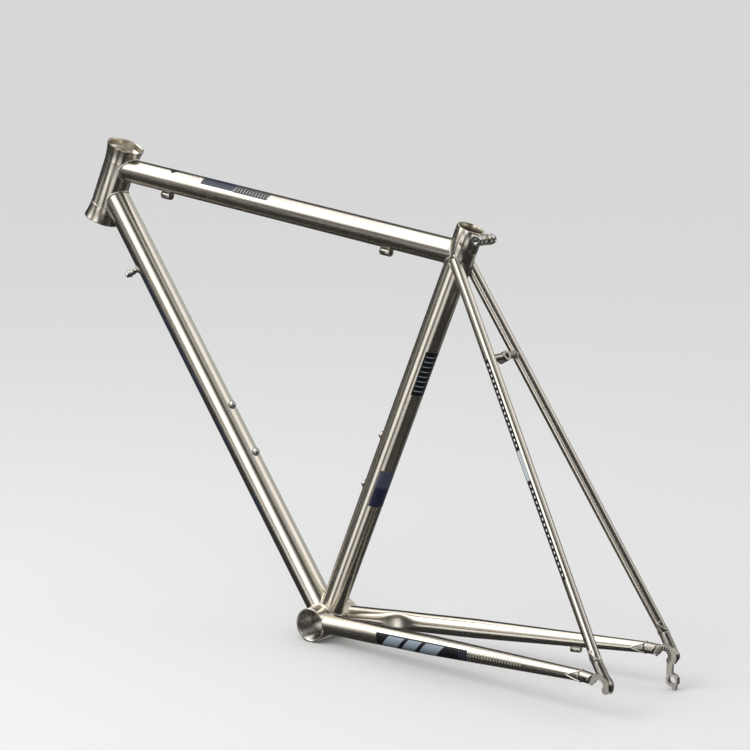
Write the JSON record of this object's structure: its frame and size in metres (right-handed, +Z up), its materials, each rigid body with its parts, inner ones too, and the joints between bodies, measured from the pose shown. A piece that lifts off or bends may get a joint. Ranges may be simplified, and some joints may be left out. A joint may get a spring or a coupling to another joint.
{
  "type": "road bicycle frame",
  "caption": "Bare brushed-metal road bicycle frame, welded from round tubes, with bottle cage bosses, brake bridge, cable stops, seat binder and hooded dropouts.",
  "frame": {"origin": "centre of the bottom bracket shell", "axes": "+X forward to the head tube, +Y to the rider's left, +Z up, with the bare frame resting on a floor at z = -20 mm"},
  "size_m": [0.8038, 0.1506, 0.5685],
  "materials": {
    "tube_metal": "brushed titanium, grain along the tubes",
    "fitting_metal": "satin machined titanium",
    "screw_steel": "polished stainless steel"
  },
  "bodies": {
    "frame": {"head_tube": "tube_metal", "top_tube": "tube_metal", "down_tube": "tube_metal", "seat_tube": "tube_metal", "seat_collar": "tube_metal", "bottom_bracket_shell": "tube_metal", "chainstay_left": "tube_metal", "chainstay_right": "tube_metal", "seatstay_left": "tube_metal", "seatstay_right": "tube_metal", "brake_bridge": "tube_metal", "dropout_left": "fitting_metal", "dropout_right": "fitting_metal", "top_tube_stop_front": "fitting_metal", "top_tube_stop_rear": "fitting_metal", "chainstay_stop": "fitting_metal", "shifter_boss_left": "fitting_metal", "shifter_boss_right": "fitting_metal", "bottle_bosses": "fitting_metal", "bottle_bolts": "screw_steel", "binder_nut": "screw_steel"},
    "binder_washer_body": {"binder_washer": "screw_steel"},
    "binder_bolt_body": {"binder_bolt": "screw_steel"},
    "shifter_washer_left_body": {"shifter_washer_left": "screw_steel"},
    "shifter_bolt_left_body": {"shifter_bolt_left": "screw_steel"},
    "shifter_washer_right_body": {"shifter_washer_right": "screw_steel"},
    "shifter_bolt_right_body": {"shifter_bolt_right": "screw_steel"}
  },
  "joints": [
    {"name": "binder_travel", "type": "slide", "parent": "frame", "child": "binder_washer_body", "axis": [0, 1, 0], "range_m": [0, 0.0032]},
    {"name": "binder_turn", "type": "hinge", "parent": "binder_washer_body", "child": "binder_bolt_body", "pos_m": [-0.21103, 0.01, 0.45794], "axis": [0, 1, 0], "range_deg": [0, 1440]},
    {"name": "shifter_left_travel", "type": "slide", "parent": "frame", "child": "shifter_washer_left_body", "axis": [0.6364, 0.6293, -0.446], "range_m": [0, 0.0032]},
    {"name": "shifter_left_turn", "type": "hinge", "parent": "shifter_washer_left_body", "child": "shifter_bolt_left_body", "pos_m": [0.295, 0.01636, 0.38575], "axis": [0.6364, 0.6293, -0.446], "range_deg": [0, 1440]},
    {"name": "shifter_right_travel", "type": "slide", "parent": "frame", "child": "shifter_washer_right_body", "axis": [0.6364, -0.6293, -0.446], "range_m": [0, 0.0032]},
    {"name": "shifter_right_turn", "type": "hinge", "parent": "shifter_washer_right_body", "child": "shifter_bolt_right_body", "pos_m": [0.295, -0.01636, 0.38575], "axis": [0.6364, -0.6293, -0.446], "range_deg": [0, 1440]}
  ],
  "couplings": [
    {"joint": "binder_turn", "follows": "binder_travel", "rad_per_m": 7854},
    {"joint": "shifter_left_turn", "follows": "shifter_left_travel", "rad_per_m": 7854},
    {"joint": "shifter_right_turn", "follows": "shifter_right_travel", "rad_per_m": 7854}
  ]
}
